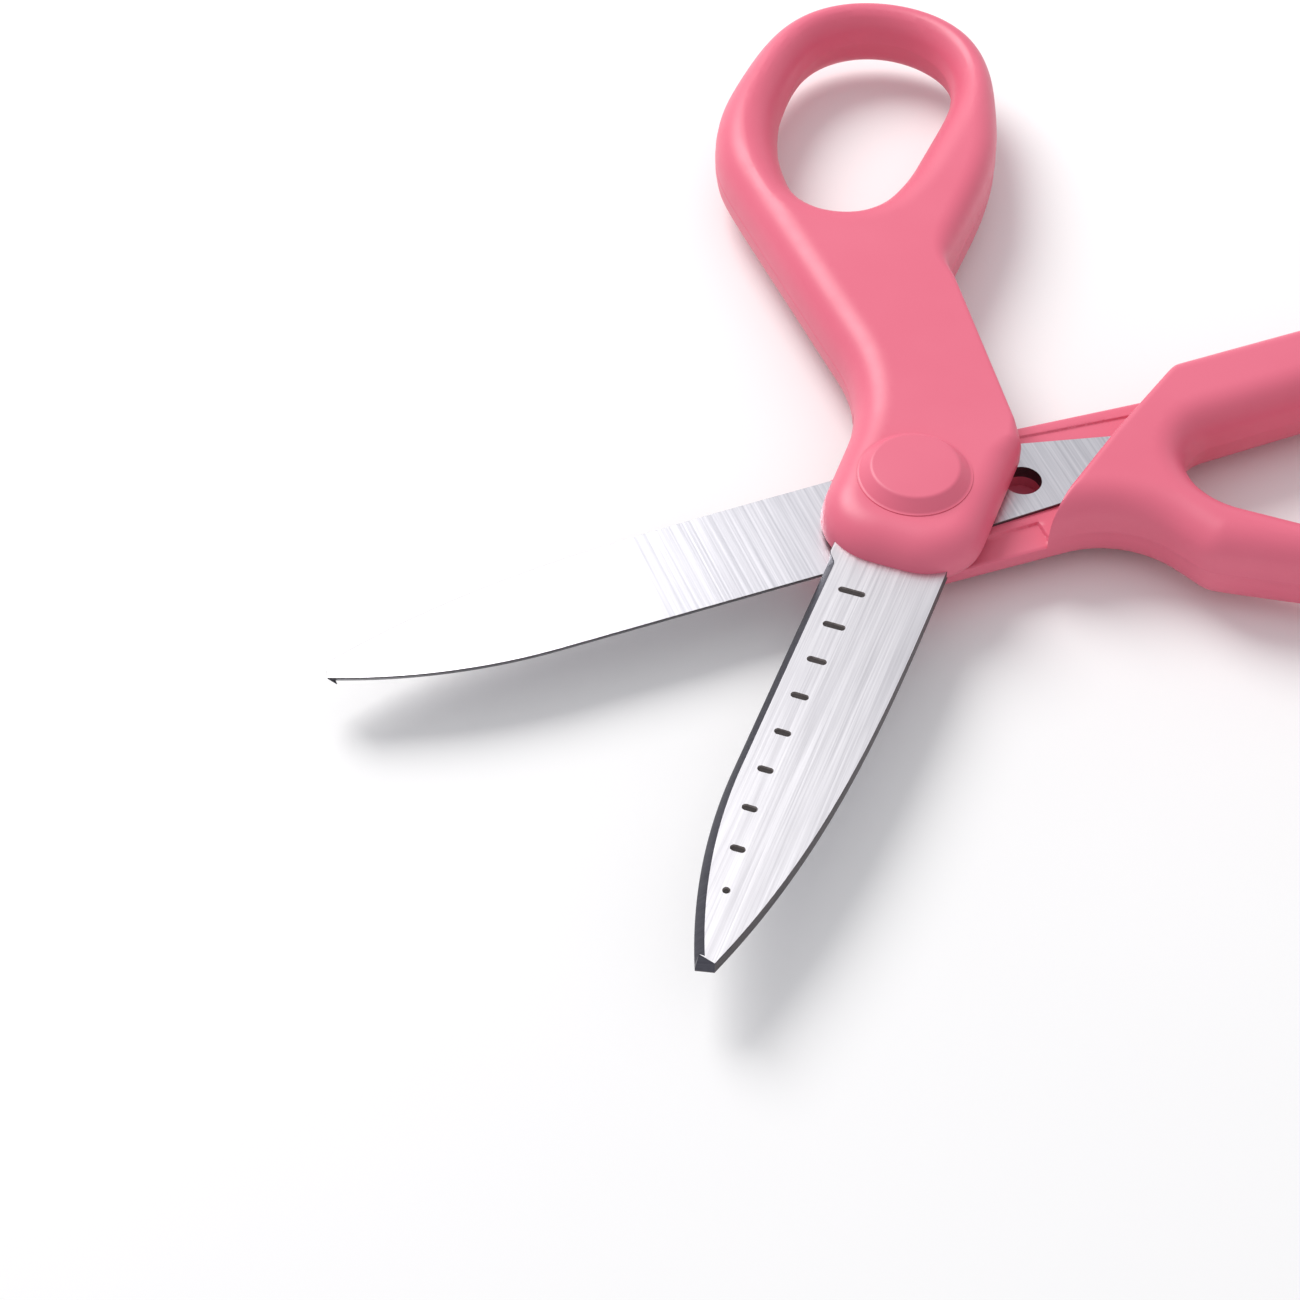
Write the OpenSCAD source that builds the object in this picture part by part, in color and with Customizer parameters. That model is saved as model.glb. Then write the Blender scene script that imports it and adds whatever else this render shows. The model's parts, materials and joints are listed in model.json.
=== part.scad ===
// Moulded-handle scissors: two steel blades, two plastic handles, one riveted pivot.
//
// Each half is drawn in its own frame, as it lies with the scissors closed: the pivot axis at
// the origin, the blade along +Y, its cutting edge on +X, and +Z pointing outwards from the
// plane where the blades meet. The upper half is then turned about the pivot, and the lower
// half is turned over as well, so that both cutting edges face each other.

/* [Pose] */
// Angle between the two blades as the scissors lie open, in degrees
rest_opening = 48.7; // [30:0.1:60]

/* [Blades] */
// Pivot to the squared-off tip
blade_reach = 78.5; // [72:0.5:84]
// Thickness of the blade steel
steel_t = 1.8; // [1.4:0.1:2.2]
// Pivot axis to the straight part of the cutting edge
edge_offset = 6.8; // [6:0.1:8]
// Pivot axis to the blade's spine at its heel
spine_offset = 8; // [7:0.1:9]
// Width of the ground bevel along the cutting edge
bevel_w = 1.1; // [0.6:0.1:1.6]
// Thickness left at the cutting edge below the bevel
edge_t = 0.2; // [0.1:0.05:0.5]
// Diameter of the round hole through each tang
tang_hole_d = 5; // [4:0.1:5.6]

/* [Length marks] */
// Number of long marks pressed into the upper blade, followed by one dot
mark_count = 8; // [4:1:8]
// Distance from one mark to the next along the blade
mark_pitch = 6.13; // [5.6:0.01:6.4]
// Depth of the marks
mark_depth = 0.2; // [0.1:0.05:0.5]

/* [Handles] */
// Height of a handle's flat outer face above the plane where the blades meet
handle_h = 5.7; // [5:0.1:6.5]
// Height of the neck's inner face above that plane
neck_gap = 0.6; // [0.4:0.1:0.9]
// How far the rounding of the thumb loop's inner wall reaches across its rim
thumb_round = 5.1; // [4:0.1:5.4]
// How far the rounding of the finger loop's inner wall reaches across its rim
finger_round = 4.6; // [3:0.1:5]

/* [Pivot] */
// Diameter of the rivet's shank
rivet_d = 4.5; // [4:0.1:5]
// Radial running clearance of the upper blade on the rivet
running_gap = 0.05; // [0.02:0.01:0.1]
// Thickness of the slip washer between the blades
slip_t = 0.4; // [0.2:0.05:0.5]
// Diameter of a pivot cap at its foot
cap_foot_d = 14.8; // [14:0.1:16]
// Diameter of a pivot cap's flat top
cap_top_d = 11.4; // [10:0.1:12]
// Height of a pivot cap above the handle
cap_h = 1.6; // [1:0.1:2.2]

/* [Hidden] */

$fn = 64;
arc_steps = 6;           // segments in each rounded corner of an outline
roll_steps = 4;          // segments in each rolled edge
eps = 0.01;

plastic = "#ef8aa3";
steel = "#c9c9cf";
zinc = "#a9abb0";
nylon = "#e9e6dd";

mate_z = handle_h + cap_h;           // the blades' meeting plane above the surface it rests on
blade_in = slip_t / 2;               // a blade's inner face above the meeting plane
blade_out = blade_in + steel_t;      // a blade's outer face
rivet_r = rivet_d / 2;
well_r = 5.5;                        // well in a handle round the rivet's head
plug_h = 0.9;                        // a cap's plug, down into that well
flat_t = 0.5;                        // flat washer
spring_t = 0.35;                     // spring washer's steel
spring_rise = 0.35;                  // spring washer's dish
head_r = 4;                          // rivet heads
head_h = 1.1;
flat_gap = 0.03;                     // slip between faces that turn on each other

heel_y = 8;                          // how far up a blade its straight root reaches

// Outlines, as corners [x, y, corner radius, edge radius of the side that starts here],
// anticlockwise. The upper half's handle is the thumb's, the lower half's the fingers'.
nose_front = 13.3;
thumb_outline = [
    [10.3, nose_front, 9, 5],
    [-10.9, nose_front, 8, 3.6],
    [-11, -11.5, 2, 0.6],
    [8.4, -41.8, 8, 3.2],
    [7.7, -67.2, 40, 3.6],
    [18.2, -95.5, 16, 4],
    [47, -95.7, 17, 4],
    [49.2, -55.9, 21.6, 4.8],
    [10.8, -14.1, 24, 4.6]];
thumb_hole = [
    [19.6, -48.9, 8, 1],
    [17.1, -94.3, 12.6, 1],
    [42.3, -88.4, 10.5, 1],
    [41.1, -63.8, 19.8, 1],
    [31.9, -46.5, 8, 1]];
finger_outline = [
    [11.3, nose_front, 9, 4.6],
    [-9.3, nose_front, 8, 3],
    [-9.3, -11.7, 15, 3.6],
    [-7.4, -36.5, 10, 2],
    [-7.4, -97, 24, 4],
    [36.6, -97, 18, 4],
    [38.5, -53.4, 24, 4],
    [23.9, -29.9, 4.9, 4.4],
    [12.4, -24.5, 12.1, 4.4]];
finger_hole = [
    [4.4, -35.1, 6.4, 1],
    [3.4, -88.5, 13, 1],
    [29.6, -88.5, 12.5, 1],
    [30.4, -52.1, 24, 1],
    [14.7, -34, 8.7, 1]];

// Where each handle steps up from its neck to its full thickness, from the loop's side of the
// neck to the other. The thumb's neck lies in the fingers' step when the scissors are closed.
thumb_step = [[16, -12.6], [11.3, -12.6], [8.9, -34], [5, -46]];
finger_step = [[15, -10], [8.6, -17.6], [1.7, -27.2], [-8, -42]];

// Tangs, inside the handles: [x, y] from the cutting edge's side round to the spine's side
front_tang = [
    [-spine_offset, heel_y], [-7.7, -8], [-3.6, -19.5], [8.4, -38.5],
    [13.5, -36], [9, -18], [6.8, -8], [edge_offset, heel_y]];
rear_tang = [
    [-spine_offset, heel_y], [-7.6, -8], [-5.5, -17.9], [-1.8, -32.5],
    [5.5, -29.5], [6.3, -17], [6.6, -8], [edge_offset, heel_y]];
front_tang_hole = [0.8, -15.3];
rear_tang_hole = [0.8, -15.3];

// --- outlines -------------------------------------------------------------------------------

function at(list, i) = list[(i + len(list)) % len(list)];
function xy(p) = [p.x, p.y];
function unit(v) = v / norm(v);
function mix(a, b, t) = a * (1 - t) + b * t;
function cross2(a, b) = a.x * b.y - a.y * b.x;
function inward(a, b) = let (d = unit(xy(b) - xy(a))) [-d.y, d.x];

// Corner i once the side before it moves in by da and the side after it by db
function moved_corner(c, i, da, db) =
    let (na = inward(at(c, i - 1), at(c, i)), nb = inward(at(c, i), at(c, i + 1)),
         ca = xy(at(c, i)) * na + da, cb = xy(at(c, i)) * nb + db)
    [ca * nb.y - cb * na.y, na.x * cb - nb.x * ca] / cross2(na, nb);

// The whole outline with each side moved in by f times its own edge radius
function moved_in(c, f) = [for (i = [0:len(c) - 1])
    let (da = f * at(c, i - 1)[3], db = f * c[i][3],
         turn = sign(cross2(xy(c[i]) - xy(at(c, i - 1)), xy(at(c, i + 1)) - xy(c[i]))))
    concat(moved_corner(c, i, da, db), [max(0.3, c[i][2] - turn * (da + db) / 2), c[i][3]])];

// Points round corner i, each with the edge radius that holds there: [x, y, edge radius]
function corner_points(c, i) =
    let (b = xy(c[i]), u = unit(xy(at(c, i - 1)) - b), w = unit(xy(at(c, i + 1)) - b),
         half = acos(u * w) / 2, r = c[i][2], m = b + unit(u + w) * r / sin(half),
         p = b + u * r / tan(half) - m, q = b + w * r / tan(half) - m,
         a0 = atan2(p.y, p.x), sweep = atan2(cross2(p, q), p * q))
    [for (k = [0:arc_steps]) let (a = a0 + sweep * k / arc_steps)
        [m.x + r * cos(a), m.y + r * sin(a), mix(at(c, i - 1)[3], c[i][3], k / arc_steps)]];

function round_points(c) = [for (i = [0:len(c) - 1]) each corner_points(c, i)];
function outline_points(c) = [for (p = round_points(c)) xy(p)];

// A solid through rings that have the same number of points, from the lowest up
module loft(rings) {
    n = len(rings[0]);
    last = (len(rings) - 1) * n;
    polyhedron(
        points = [for (ring = rings) each ring],
        faces = concat(
            [[for (k = [0:n - 1]) k]],
            [for (j = [0:len(rings) - 2], k = [0:n - 1]) each
                let (a = j * n + k, b = j * n + (k + 1) % n) [[a, b + n, b], [a, a + n, b + n]]],
            [[for (k = [n - 1:-1:0]) last + k]]),
        convexity = 6);
}

// A plate from z = foot up to z = top with its top edge rolled over
module rolled_plate(c, foot, top) {
    loft(concat(
        [[for (p = round_points(c)) [p.x, p.y, foot]]],
        [for (j = [0:roll_steps]) let (a = 90 * j / roll_steps)
            [for (p = round_points(moved_in(c, 1 - cos(a)))) [p.x, p.y, top - p[2] * (1 - sin(a))]]]));
}

// The space inside a finger loop: narrowest half-way up, where its wall is fully rounded
module loop_space(c, reach_in) {
    reach = handle_h + eps;
    steps = 2 * roll_steps;
    loft([for (j = [0:steps]) let (a = 90 * (2 * j / steps - 1))
        [for (p = round_points(moved_in(c, -reach_in * (1 - cos(a))))) [p.x, p.y, reach * sin(a)]]]);
}

// --- blades ---------------------------------------------------------------------------------

bevel_from = 14;                                  // where the ground bevel starts, under the nose
bevel_full = 16;                                  // and where it has its whole width
curve_from = 50;                                  // where the cutting edge starts to curve
spine_power = 3.3;                                // how late the spine falls towards the tip
tip_edge_x = 1.2;                                 // the squared-off tip's two corners
tip_spine = [-1, blade_reach - 0.5];
curve_rise = blade_reach - curve_from;
curve_r = (curve_rise ^ 2 + (edge_offset - tip_edge_x) ^ 2) / (2 * (edge_offset - tip_edge_x));
function edge_x(y) = edge_offset - (y < curve_from ? 0 : curve_r - sqrt(curve_r ^ 2 - (y - curve_from) ^ 2));
function spine_x(y) = -spine_offset
    + (spine_offset + tip_spine.x) * ((y - heel_y) / (tip_spine.y - heel_y)) ^ spine_power;

// A blade's outline with its cutting edge moved in by d
blade_steps = 14;
function blade_outline(tang, d) = concat(
    tang,
    [[edge_x(bevel_from), bevel_from], [edge_x(bevel_full) - d, bevel_full]],
    [for (k = [0:blade_steps]) let (y = mix(curve_from, blade_reach, k / blade_steps)) [edge_x(y) - d, y]],
    [for (k = [blade_steps:-1:1]) let (y = mix(heel_y, tip_spine.y, k / blade_steps)) [spine_x(y), y]]);

// The blank is ground to a bevel on its outer face from the cutting edge inwards
module ground_blade(tang, tang_hole, bore_r) {
    difference() {
        loft([
            [for (p = blade_outline(tang, 0)) [p.x, p.y, blade_in]],
            [for (p = blade_outline(tang, 0)) [p.x, p.y, blade_in + edge_t]],
            [for (p = blade_outline(tang, bevel_w)) [p.x, p.y, blade_out]]]);
        translate([0, 0, -eps]) cylinder(r = bore_r, h = 2 * blade_out);
        translate([tang_hole.x, tang_hole.y, -eps]) cylinder(d = tang_hole_d, h = 2 * blade_out);
    }
}

mark_w = 1.1;
first_mark_y = 18.8;
mark_inset = 2.9;                                 // from the cutting edge to the marks' ends
dot_d = 1.1;
function mark_length(i) = 1.9 + 1.7 * 0.65 ^ i;

module length_marks() {
    translate([0, 0, blade_out - mark_depth]) {
        for (i = [0:mark_count - 1]) {
            y = first_mark_y + i * mark_pitch;
            run = mark_length(i) - mark_w;
            translate([edge_x(y) - mark_inset - mark_w / 2, y, 0]) {
                cylinder(d = mark_w, h = 1, $fn = 24);
                translate([-run, 0, 0]) cylinder(d = mark_w, h = 1, $fn = 24);
                translate([-run, -mark_w / 2, 0]) cube([run, mark_w, 1]);
            }
        }
        dot_y = first_mark_y + mark_count * mark_pitch;
        translate([edge_x(dot_y) - mark_inset - dot_d / 2, dot_y, 0]) cylinder(d = dot_d, h = 1, $fn = 24);
    }
}

// --- handles --------------------------------------------------------------------------------

// The slot that the blade's root and tang fill, from z = foot up to the blade's outer face
module tang_slot(tang, foot) {
    translate([0, 0, foot]) linear_extrude(blade_out - foot) polygon(concat(tang, [
        [edge_offset, nose_front + 1], [-spine_offset, nose_front + 1]]));
}

// Everything beyond a step, as a tall block
module beyond_step(step) {
    side = 60;
    translate([0, 0, -2 * handle_h]) linear_extrude(4 * handle_h) polygon(concat(
        [[side, step[0].y]], step, [[step[len(step) - 1].x - side, -2 * side], [side, -2 * side]]));
}

// A handle's moulding, held to its full thickness
module handle(outline, step, hole, reach_in, tang) {
    resize([0, 0, 2 * handle_h]) difference() {
        union() {
            rolled_plate(outline, neck_gap, handle_h);
            intersection() {
                mirror([0, 0, 1]) rolled_plate(outline, -neck_gap, handle_h);
                beyond_step(step);
            }
        }
        loop_space(hole, reach_in);
        tang_slot(tang, blade_in);
        translate([0, 0, blade_in]) cylinder(r = well_r, h = handle_h);
    }
}

// --- pivot ----------------------------------------------------------------------------------

cap_rim = 0.3;                       // a cap's upright rim at its foot
cap_roll = 1.1;                      // rounding between its sloping side and its flat top
plug_gap = 0.1;                      // a plug's clearance in its well

module cap() {
    foot_r = cap_foot_d / 2;
    top_r = cap_top_d / 2;
    plug_r = well_r - plug_gap;
    top = handle_h + cap_h;
    slope = atan2(foot_r - top_r, cap_h - cap_rim);
    rotate_extrude() polygon(concat(
        [[0, handle_h - plug_h], [plug_r, handle_h - plug_h], [plug_r, handle_h],
         [foot_r, handle_h], [foot_r, handle_h + cap_rim]],
        [for (k = [0:4]) let (a = mix(slope, 90, k / 4))
            [top_r + cap_roll * (cos(a) - tan(45 - slope / 2)), top + cap_roll * (sin(a) - 1)]],
        [[0, top]]));
}

module ring(r_out, r_in, foot, h) {
    translate([0, 0, foot]) difference() {
        cylinder(r = r_out, h = h);
        translate([0, 0, -eps]) cylinder(r = r_in, h = h + 2 * eps);
    }
}

module upper_half() translate([0, 0, mate_z]) rotate(rest_opening / 2) children();
module lower_half() translate([0, 0, mate_z]) rotate(-rest_opening / 2) rotate([0, 180, 0]) children();

module rear_handle() color(plastic) lower_half() handle(finger_outline, finger_step, finger_hole, finger_round, rear_tang);
module rear_blade() color(steel) lower_half() ground_blade(rear_tang, rear_tang_hole, rivet_r);
module rear_cap() color(plastic) lower_half() cap();
module front_handle() color(plastic) upper_half() handle(thumb_outline, thumb_step, thumb_hole, thumb_round, front_tang);
module front_blade() color(steel) upper_half() difference() {
    ground_blade(front_tang, front_tang_hole, rivet_r + running_gap);
    length_marks();
}
module front_cap() color(plastic) upper_half() cap();

module slip_washer() color(nylon) translate([0, 0, mate_z])
    ring(5, rivet_r, -blade_in, slip_t - flat_gap);
module flat_washer() color(zinc) translate([0, 0, mate_z])
    ring(5, rivet_r + running_gap, blade_out, flat_t);

// A dished spring washer: its foot on the flat washer, its crown under the rivet's upper head
spring_foot = blade_out + flat_t + flat_gap;
module spring_washer() color(zinc) translate([0, 0, mate_z + spring_foot]) rotate_extrude() polygon([
    [rivet_r, spring_rise], [4.4, 0], [4.4, spring_t], [rivet_r, spring_rise + spring_t]]);

module pivot_rivet() color(steel) translate([0, 0, mate_z]) {
    upper = spring_foot + spring_rise + spring_t;
    translate([0, 0, -blade_out - head_h]) cylinder(r = head_r, h = head_h);
    translate([0, 0, -blade_out - eps]) cylinder(r = rivet_r, h = upper + blade_out + 2 * eps);
    rotate_extrude() polygon(concat(
        [[0, upper], [head_r - 0.6, upper]],
        [for (a = [0:15:90]) [(head_r - 0.6) * cos(a), upper + 0.2 + (head_h - 0.3) * sin(a)]]));
}

rear_handle();
rear_blade();
rear_cap();
pivot_rivet();
slip_washer();
spring_washer();
front_handle();
front_blade();
front_cap();
flat_washer();
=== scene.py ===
# %% [markdown]
# # Household scissors, lying open
# Two steel blades turn on one rivet, and each carries a handle moulded round its tang. The working
# model already fixes where everything is and how it turns. This script only adds the looks: the
# finer shapes that moulding and grinding leave, and the finishes. Every piece is drawn in
# millimetres in its own half's frame, as that half lies with the scissors closed: the pivot at the
# origin, the blade along +Y with its cutting edge on +X, and +Z pointing outwards from the plane
# where the blades meet. One function then puts it in its place.

# %% Load the fixed model
import json
import math

import bmesh
import bpy
import numpy as np
from mathutils import Matrix, Vector
from mathutils.geometry import delaunay_2d_cdt


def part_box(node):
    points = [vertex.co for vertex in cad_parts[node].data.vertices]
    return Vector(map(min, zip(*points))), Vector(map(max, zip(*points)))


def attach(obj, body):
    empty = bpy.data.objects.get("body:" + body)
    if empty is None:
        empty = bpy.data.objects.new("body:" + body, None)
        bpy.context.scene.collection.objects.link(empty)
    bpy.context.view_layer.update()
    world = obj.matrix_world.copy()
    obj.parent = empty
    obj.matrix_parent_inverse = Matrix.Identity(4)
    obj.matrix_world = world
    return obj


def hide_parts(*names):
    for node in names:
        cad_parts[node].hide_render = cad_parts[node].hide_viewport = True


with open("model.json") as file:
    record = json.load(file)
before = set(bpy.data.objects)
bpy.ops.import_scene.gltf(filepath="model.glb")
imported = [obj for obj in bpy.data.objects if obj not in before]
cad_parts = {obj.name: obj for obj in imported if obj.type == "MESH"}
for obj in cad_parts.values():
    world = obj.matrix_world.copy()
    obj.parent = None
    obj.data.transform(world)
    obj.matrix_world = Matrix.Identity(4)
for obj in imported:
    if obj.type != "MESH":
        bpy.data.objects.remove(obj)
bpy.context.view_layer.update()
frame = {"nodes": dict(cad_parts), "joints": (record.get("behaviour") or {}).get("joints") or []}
print("nodes:", sorted(frame["nodes"]))

# %% Sizes that everything shares
MM = 0.001
MATE_Z = frame["joints"][0]["pos_m"][2] / MM           # the plane where the blades meet
HANDLE_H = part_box("front_handle")[1].z / MM - MATE_Z   # a handle's flat face above that plane
BLADE_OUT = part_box("front_blade")[1].z / MM - MATE_Z   # a blade's outer face
BLADE_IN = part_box("front_blade")[0].z / MM - MATE_Z    # a blade's inner face
CAP_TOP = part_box("front_cap")[1].z / MM - MATE_Z       # a pivot cap's flat top
CAP_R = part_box("front_cap")[1].x / MM                  # and its foot's radius
HALF_OPEN = math.radians(48.7 / 2)                     # each blade's turn away from +Y
print(f"handle {HANDLE_H:.2f}, blade {BLADE_IN:.2f} to {BLADE_OUT:.2f}, cap to {CAP_TOP:.2f} mm")

# %% [markdown]
# ## From a half's own frame to the row frame
# The upper half is turned to one side about the pivot. The lower half is the other way up: it is
# turned over about +Y, and then to the other side. Both are plain rotations, so faces that point
# outwards still do afterwards. The place goes into the mesh itself, so that each object stays at
# the origin and its patterns don't slide.

# %% Placing a half
UPPER = Matrix.Translation((0, 0, MATE_Z * MM)) @ Matrix.Rotation(HALF_OPEN, 4, "Z") @ Matrix.Scale(MM, 4)
LOWER = (Matrix.Translation((0, 0, MATE_Z * MM)) @ Matrix.Rotation(-HALF_OPEN, 4, "Z")
         @ Matrix.Rotation(math.pi, 4, "Y") @ Matrix.Scale(MM, 4))
HALVES = {"upper_half": UPPER, "lower_half": LOWER}


def new_object(name, mesh):
    piece = bpy.data.objects.new(name, mesh)
    bpy.context.scene.collection.objects.link(piece)
    return piece


def welded_mesh(name, patches):
    """One closed mesh from patches (points in mm, faces), whose shared edges have the same points."""
    mesh = bmesh.new()
    for points, faces in patches:
        corners = [mesh.verts.new(p) for p in points]
        for face in faces:
            mesh.faces.new([corners[i] for i in face])
    bmesh.ops.remove_doubles(mesh, verts=mesh.verts, dist=0.002)
    bmesh.ops.dissolve_degenerate(mesh, edges=mesh.edges, dist=0.0005)
    bmesh.ops.recalc_face_normals(mesh, faces=mesh.faces)
    if mesh.calc_volume(signed=True) < 0:
        bmesh.ops.reverse_faces(mesh, faces=mesh.faces)
    open_edges = sum(len(edge.link_faces) != 2 for edge in mesh.edges)
    made = bpy.data.meshes.new(name)
    mesh.to_mesh(made)
    mesh.free()
    print(f"{name}: {len(made.polygons)} faces, {open_edges} open edges")
    return made


# %% [markdown]
# ## Outlines
# A moulded handle is drawn the way a toolmaker draws it: straight sides, a radius at each corner,
# and for each side the radius of the rounding that rolls from it over onto the flat face. The
# points are then spread evenly along the outline, and the rolling radius is blended a little from
# side to side, as it is on a polished mould. Round its loop a handle's corners run softly into
# its sides, so there each point also moves to the mean of its neighbours. At a corner that lies
# slightly further in.

# %% Rounding an outline's corners
POINT_GAP = 0.5
LOOP_FROM, LOOP_BLEND = -42, 14          # where a handle becomes its loop


def unit(v):
    return v / np.linalg.norm(v)


def corner_arc(before, here, after, steps=12):
    """Points [x, y, edge radius] round one corner [x, y, corner radius, edge radius after it]."""
    b = np.array(here[:2], float)
    u, w = unit(np.array(before[:2]) - b), unit(np.array(after[:2]) - b)
    half = math.acos(float(u @ w)) / 2
    centre = b + unit(u + w) * here[2] / math.sin(half)
    p, q = b + u * here[2] / math.tan(half) - centre, b + w * here[2] / math.tan(half) - centre
    start = math.atan2(p[1], p[0])
    sweep = math.atan2(p[0] * q[1] - p[1] * q[0], float(p @ q))
    share = np.linspace(0, 1, steps + 1)
    turn = start + sweep * share
    arc = centre + here[2] * np.column_stack([np.cos(turn), np.sin(turn)])
    return np.column_stack([arc, before[3] * (1 - share) + here[3] * share])


def spread(points, gap=POINT_GAP, closed=True):
    """The same line with points about gap apart."""
    line = np.vstack([points, points[:1]]) if closed else points
    run = np.r_[0, np.cumsum(np.linalg.norm(np.diff(line[:, :2], axis=0), axis=1))]
    stops = np.linspace(0, run[-1], max(4, round(run[-1] / gap)) + 1)
    even = np.column_stack([np.interp(stops, run, line[:, k]) for k in range(line.shape[1])])
    return even[:-1] if closed else even


def neighbours_mean(values, reach):
    """Each value of a ring replaced by the mean of its neighbours out to reach on both sides."""
    return sum(np.roll(values, k, axis=0) for k in range(-reach, reach + 1)) / (2 * reach + 1)


def outline_ring(corners, blend=7, soften=12):
    """A closed outline as evenly spread points [x, y, edge radius], softened round its loop."""
    arcs = [corner_arc(corners[i - 1], corners[i], corners[(i + 1) % len(corners)])
            for i in range(len(corners))]
    ring = spread(np.vstack(arcs))
    ring[:, 2] = neighbours_mean(ring[:, 2], blend)
    loop_share = np.clip((LOOP_FROM - ring[:, 1:2]) / LOOP_BLEND, 0, 1)
    ring[:, :2] = ring[:, :2] * (1 - loop_share) + neighbours_mean(ring[:, :2], soften) * loop_share
    return ring


def rounded_line(corners):
    """An open line of corners [x, y, corner radius] as evenly spread points [x, y]."""
    four = [[*c, 0] for c in corners]
    middle = [corner_arc(four[i - 1], four[i], four[i + 1]) for i in range(1, len(four) - 1)]
    return spread(np.vstack([[four[0][:3]], *middle, [four[-1][:3]]]), closed=False)[:, :2]


def outward(ring):
    """Unit normals that point out of an anticlockwise ring."""
    along = np.roll(ring[:, :2], -1, 0) - np.roll(ring[:, :2], 1, 0)
    along /= np.linalg.norm(along, axis=1)[:, None]
    return np.column_stack([along[:, 1], -along[:, 0]])


def inside(points, ring):
    """Which points lie inside a closed ring, by how often a line from each crosses it."""
    a, b = ring[:, :2], np.roll(ring[:, :2], -1, 0)
    x, y = points[:, :1], points[:, 1:2]
    spans = (a[:, 1] > y) != (b[:, 1] > y)
    rise = np.where(b[:, 1] == a[:, 1], 1e-9, b[:, 1] - a[:, 1])
    return (spans & (x < (b[:, 0] - a[:, 0]) * (y - a[:, 1]) / rise + a[:, 0])).sum(1) % 2 == 1


def nearest(points, ring, closed=True):
    """Each point's distance to a ring or line, and the value that its points carry there."""
    carried = ring[:, 2] if ring.shape[1] > 2 else np.zeros(len(ring))
    distance, value = np.empty(len(points)), np.empty(len(points))
    for s in range(0, len(points), 3000):
        part = points[s:s + 3000, :2]
        closest = np.linalg.norm(part[:, None] - ring[None, :, :2], axis=2).argmin(1)
        best, kept = np.full(len(part), np.inf), np.zeros(len(part))
        for first in (closest - 1, closest):
            last = (first + 1) % len(ring)
            a, side = ring[first, :2], ring[last, :2] - ring[first, :2]
            t = np.clip(((part - a) * side).sum(1) / np.maximum((side ** 2).sum(1), 1e-12), 0, 1)
            d = np.linalg.norm(part - a - side * t[:, None], axis=1)
            if not closed:
                d = np.where(last == 0, np.inf, d)
            nearer = d < best
            best = np.where(nearer, d, best)
            kept = np.where(nearer, carried[first] * (1 - t) + carried[last] * t, kept)
        distance[s:s + 3000], value[s:s + 3000] = best, kept
    return distance, value


# Each corner: x, y, corner radius, edge radius of the side that starts there
THUMB_OUTLINE = [
    [10.3, 13.3, 9, 5], [-10.9, 13.3, 8, 3.6], [-11, -11.5, 2, 0.6], [8.4, -41.8, 8, 3.2],
    [7.7, -67.2, 40, 3.6], [18.2, -95.5, 16, 4], [47, -95.7, 17, 4], [49.2, -55.9, 21.6, 4.8],
    [10.8, -14.1, 24, 4.6]]
THUMB_HOLE = [[19.6, -48.9, 8, 1], [17.1, -94.3, 12.6, 1], [42.3, -88.4, 10.5, 1],
              [41.1, -63.8, 19.8, 1], [31.9, -46.5, 8, 1]]
FINGER_OUTLINE = [
    [11.3, 13.3, 9, 4.6], [-9.3, 13.3, 8, 3], [-9.3, -11.7, 15, 3.6], [-7.4, -36.5, 10, 2],
    [-7.4, -97, 24, 4], [36.6, -97, 18, 4], [38.5, -53.4, 24, 4], [23.9, -29.9, 4.9, 4.4],
    [12.4, -24.5, 12.1, 4.4]]
FINGER_HOLE = [[4.4, -35.1, 6.4, 1], [3.4, -88.5, 13, 1], [29.6, -88.5, 12.5, 1],
               [30.4, -52.1, 24, 1], [14.7, -34, 8.7, 1]]
print(f"thumb outline {len(outline_ring(THUMB_OUTLINE))} points, "
      f"finger outline {len(outline_ring(FINGER_OUTLINE))}")

# %% [markdown]
# ## A moulding as two height fields
# Boxes with a bevel can't give a rolling radius that changes along an edge. Here the height of the
# face is worked out at every point instead: the full height, less what the outline's rounding takes
# away there, less what the finger loop's takes away. Points stand in rings close to each edge, where
# the surface turns quickly, and on a coarser grid elsewhere. A Delaunay triangulation joins them,
# and walls close the gap between the outer and the inner side. All the patches have the same
# points along their shared edges, so that the welded mesh is one closed solid.

# %% Heights and their points
HOLE_SKIRT = 0.25          # half the flat left half-way up a loop's inner wall
PARTING = 0.05             # how far the mould's parting line stands proud
PARTING_HALF = 0.12        # and half its height
PARTING_TAPER = 12         # points over which it fades out at the step
EDGE_ROOM = 0.12           # no inner point stands closer than this to an outline
STEP_ROOM = 0.15           # nor an outline point to where the step crosses it


def roll(distance, reach, height):
    """How far a rounding of that reach and height drops at a distance inside its edge."""
    t = np.clip(1 - distance / np.maximum(reach, 1e-6), 0, 1)
    return height * (1 - np.sqrt(1 - t * t))


def face_drop(points, outline, hole, hole_reach):
    edge_d, edge_r = nearest(points, outline)
    hole_d, _ = nearest(points, hole)
    return roll(edge_d, edge_r, edge_r) + roll(hole_d, hole_reach, HANDLE_H - HOLE_SKIRT)


def ring_shares():
    """How far in each ring of points stands, as shares of the rounding's reach."""
    return [1 - math.cos(math.radians(a)) for a in (9, 18, 27, 36, 45, 55, 65, 76, 88)] + [1.12]


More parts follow.
